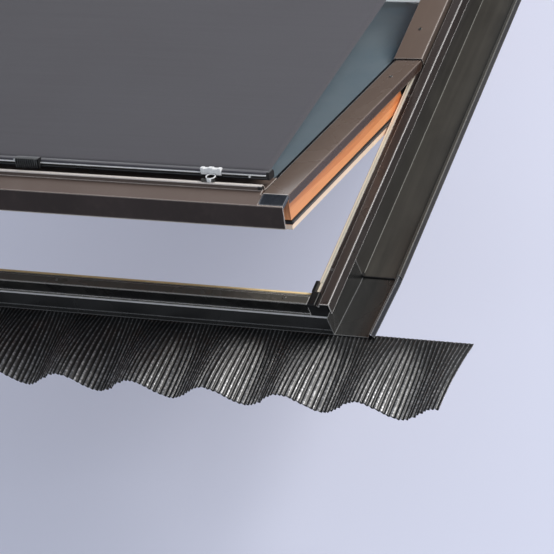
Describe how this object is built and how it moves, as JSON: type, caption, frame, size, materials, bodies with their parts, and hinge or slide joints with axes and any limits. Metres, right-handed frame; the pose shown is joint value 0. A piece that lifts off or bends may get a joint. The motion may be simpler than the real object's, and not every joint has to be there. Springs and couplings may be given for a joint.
{
  "type": "roof skylight",
  "caption": "Centre-pivot roof window in a pine frame, standing open, with dark metal covers, side gutters, a pleated apron and a fabric awning blind over the glass.",
  "frame": {"origin": "centre of the four fixing brackets' main holes, on the brackets' undersides, where they rest on the roof battens", "axes": "+X across the window, +Y up the roof slope, +Z square to the roof, outwards"},
  "size_m": [1.694, 1.592, 0.5457],
  "materials": {
    "pine": "lacquered pine",
    "cover": "satin dark brown painted aluminium",
    "flashing": "satin dark grey painted aluminium",
    "front_flashing": "gloss black painted aluminium",
    "apron": "dark grey pleated soft aluminium",
    "steel": "zinc plated",
    "screw": "painted screw heads",
    "seal": "matt",
    "gasket": "matt",
    "glass": "clear",
    "spacer": "satin",
    "cap": "fine grained",
    "fabric": "woven mesh",
    "tube": "satin",
    "bar": "satin",
    "bar_cap": "matt",
    "clip": "white",
    "grip": "matt",
    "handle": "satin",
    "flap": "satin",
    "latch": "zinc plated"
  },
  "bodies": {
    "frame": {"left_frame_timber": "pine", "right_frame_timber": "pine", "bottom_frame_timber": "pine", "top_frame_timber": "pine", "left_frame_cover": "cover", "right_frame_cover": "cover", "bottom_frame_cover": "cover", "left_corner_seal": "seal", "right_corner_seal": "seal", "left_upper_cover": "cover", "right_upper_cover": "cover", "top_casing": "cover", "left_casing_end": "cover", "right_casing_end": "cover", "guide_rod": "steel", "left_side_gutter": "flashing", "right_side_gutter": "flashing", "bottom_flashing": "front_flashing", "head_flashing": "flashing", "pleated_apron": "apron", "left_lower_bracket": "steel", "right_lower_bracket": "steel", "left_upper_bracket": "steel", "right_upper_bracket": "steel", "bracket_screws": "steel", "frame_cover_screws": "screw", "left_frame_hinge": "steel", "right_frame_hinge": "steel", "strike_plate": "steel"},
    "sash": {"left_stile": "pine", "right_stile": "pine", "bottom_rail": "pine", "top_rail": "pine", "outer_pane": "glass", "inner_pane": "glass", "spacer_bar": "spacer", "glazing_gasket": "gasket", "sash_seal": "seal", "left_sash_cover": "cover", "right_sash_cover": "cover", "bottom_sash_cover": "cover", "left_corner_cap": "cap", "right_corner_cap": "cap", "left_sash_hinge": "steel", "right_sash_hinge": "steel", "sash_cover_screws": "screw", "awning_bar": "bar", "bar_end_caps": "bar_cap", "left_awning_clip": "clip", "right_awning_clip": "clip", "clip_keepers": "steel", "centre_grip": "grip", "control_brackets": "steel", "flap_hinges": "steel"},
    "fabric": {"awning_fabric": "fabric"},
    "roller": {"roller_tube": "tube", "wound_fabric": "fabric"},
    "control_bar": {"control_bar": "handle"},
    "vent_flap": {"vent_flap": "flap"},
    "latch_bolt": {"latch_bolt": "latch"}
  },
  "joints": [
    {"name": "sash_pivot", "type": "hinge", "parent": "frame", "child": "sash", "pos_m": [0, 0, 0.052], "axis": [-1, 0, 0], "range_deg": [-22, 18]},
    {"name": "awning_swing", "type": "hinge", "parent": "sash", "child": "fabric", "pos_m": [0, -0.49675, 0.31741], "axis": [-1, 0, 0], "range_deg": [-9, 11]},
    {"name": "awning_roller", "type": "hinge", "parent": "frame", "child": "roller", "pos_m": [0, 0.613, 0.062], "axis": [-1, 0, 0], "range_deg": [-245, 200]},
    {"name": "control_bar_swing", "type": "hinge", "parent": "sash", "child": "control_bar", "pos_m": [0, 0.47895, -0.20406], "axis": [1, 0, 0], "range_deg": [-30, 0]},
    {"name": "vent_flap_swing", "type": "hinge", "parent": "sash", "child": "vent_flap", "pos_m": [0, 0.51168, -0.11504], "axis": [1, 0, 0], "range_deg": [-12, 0]},
    {"name": "latch_slide", "type": "slide", "parent": "sash", "child": "latch_bolt", "axis": [0, 0.9272, -0.3746], "range_m": [0, 0.01]}
  ],
  "couplings": [
    {"joint": "awning_swing", "follows": "sash_pivot", "ratio": -0.5},
    {"joint": "awning_roller", "follows": "sash_pivot", "ratio": 11.1},
    {"joint": "vent_flap_swing", "follows": "control_bar_swing", "ratio": 0.4},
    {"joint": "latch_slide", "follows": "control_bar_swing", "m_per_rad": -0.019}
  ]
}
